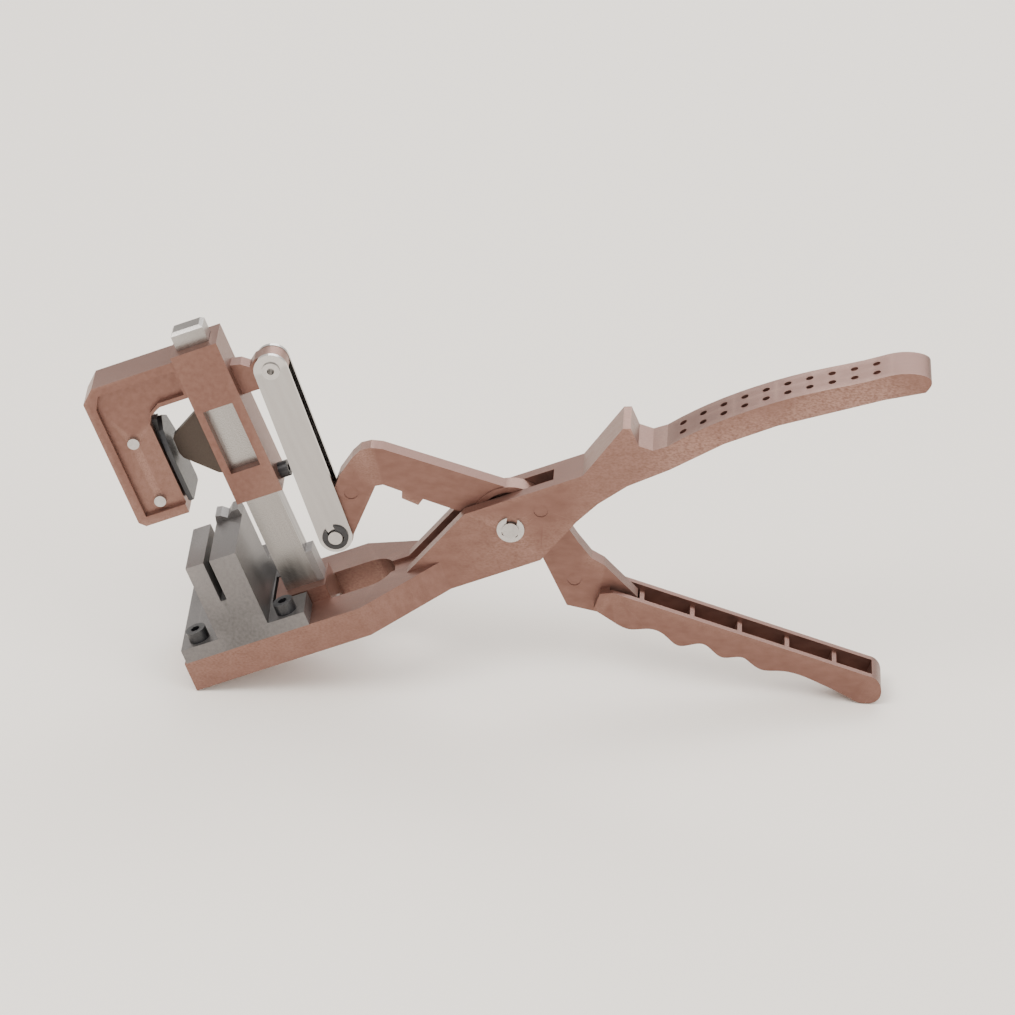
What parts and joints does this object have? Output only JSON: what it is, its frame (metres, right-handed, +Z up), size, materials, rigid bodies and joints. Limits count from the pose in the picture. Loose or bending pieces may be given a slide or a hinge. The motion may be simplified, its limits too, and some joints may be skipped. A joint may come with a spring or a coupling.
{
  "type": "hand press pliers",
  "caption": "Rose cast hand press pliers: a squeezed lever and steel links drive a C-arm carriage down a square rail onto a slotted grey die.",
  "frame": {"origin": "centre of the bounding box at its base, on the surface the tool stands on", "axes": "+X towards the handles, +Y across the tool away from the side with the clip mouths, +Z up; the tool stands on the front edge of its sole and the tip of the lower handle"},
  "size_m": [0.2796, 0.046, 0.1276],
  "materials": {
    "frame_casting": "satin",
    "lever_casting": "satin",
    "carriage_casting": "satin",
    "guide_rail": "satin",
    "stop_plate": "satin",
    "rail_clamp_screw": "satin",
    "die_block": "satin",
    "die_screws": "satin",
    "main_pivot_pin": "satin",
    "main_pivot_clips": "satin",
    "lever_bush": "satin",
    "return_spring": "satin",
    "lower_link_pin": "satin",
    "lower_link_clips": "satin",
    "near_link": "satin",
    "far_link": "satin",
    "upper_link_pin": "satin",
    "driver_blade": "satin",
    "blade_pins": "satin",
    "guide_fin": "satin",
    "carriage_side_screw": "satin"
  },
  "bodies": {
    "frame": {"frame_casting": "frame_casting", "guide_rail": "guide_rail", "stop_plate": "stop_plate", "rail_clamp_screw": "rail_clamp_screw", "die_block": "die_block", "die_screws": "die_screws", "main_pivot_pin": "main_pivot_pin", "main_pivot_clips": "main_pivot_clips"},
    "lever": {"lever_casting": "lever_casting", "lever_bush": "lever_bush", "return_spring": "return_spring", "lower_link_pin": "lower_link_pin", "lower_link_clips": "lower_link_clips"},
    "carriage": {"carriage_casting": "carriage_casting", "driver_blade": "driver_blade", "blade_pins": "blade_pins", "guide_fin": "guide_fin", "carriage_side_screw": "carriage_side_screw", "upper_link_pin": "upper_link_pin"},
    "links": {"near_link": "near_link", "far_link": "far_link"}
  },
  "joints": [
    {"name": "lever_pivot", "type": "hinge", "parent": "frame", "child": "lever", "pos_m": [0.00361, 0, 0.06024], "axis": [0, -1, 0], "range_deg": [0, 11.4], "stiffness_Nm_per_rad": 1.5, "springref_deg": -40.11},
    {"name": "carriage_slide", "type": "slide", "parent": "frame", "child": "carriage", "axis": [0.3971, 0, -0.9178], "range_m": [0, 0.01176]},
    {"name": "link_swing", "type": "hinge", "parent": "carriage", "child": "links", "pos_m": [-0.07792, 0, 0.11267], "axis": [0, 1, 0], "range_deg": [0, 1.72]}
  ],
  "couplings": [
    {"joint": "carriage_slide", "follows": "lever_pivot", "m_per_rad": 0.05898},
    {"joint": "link_swing", "follows": "lever_pivot", "ratio": 0.1496}
  ]
}
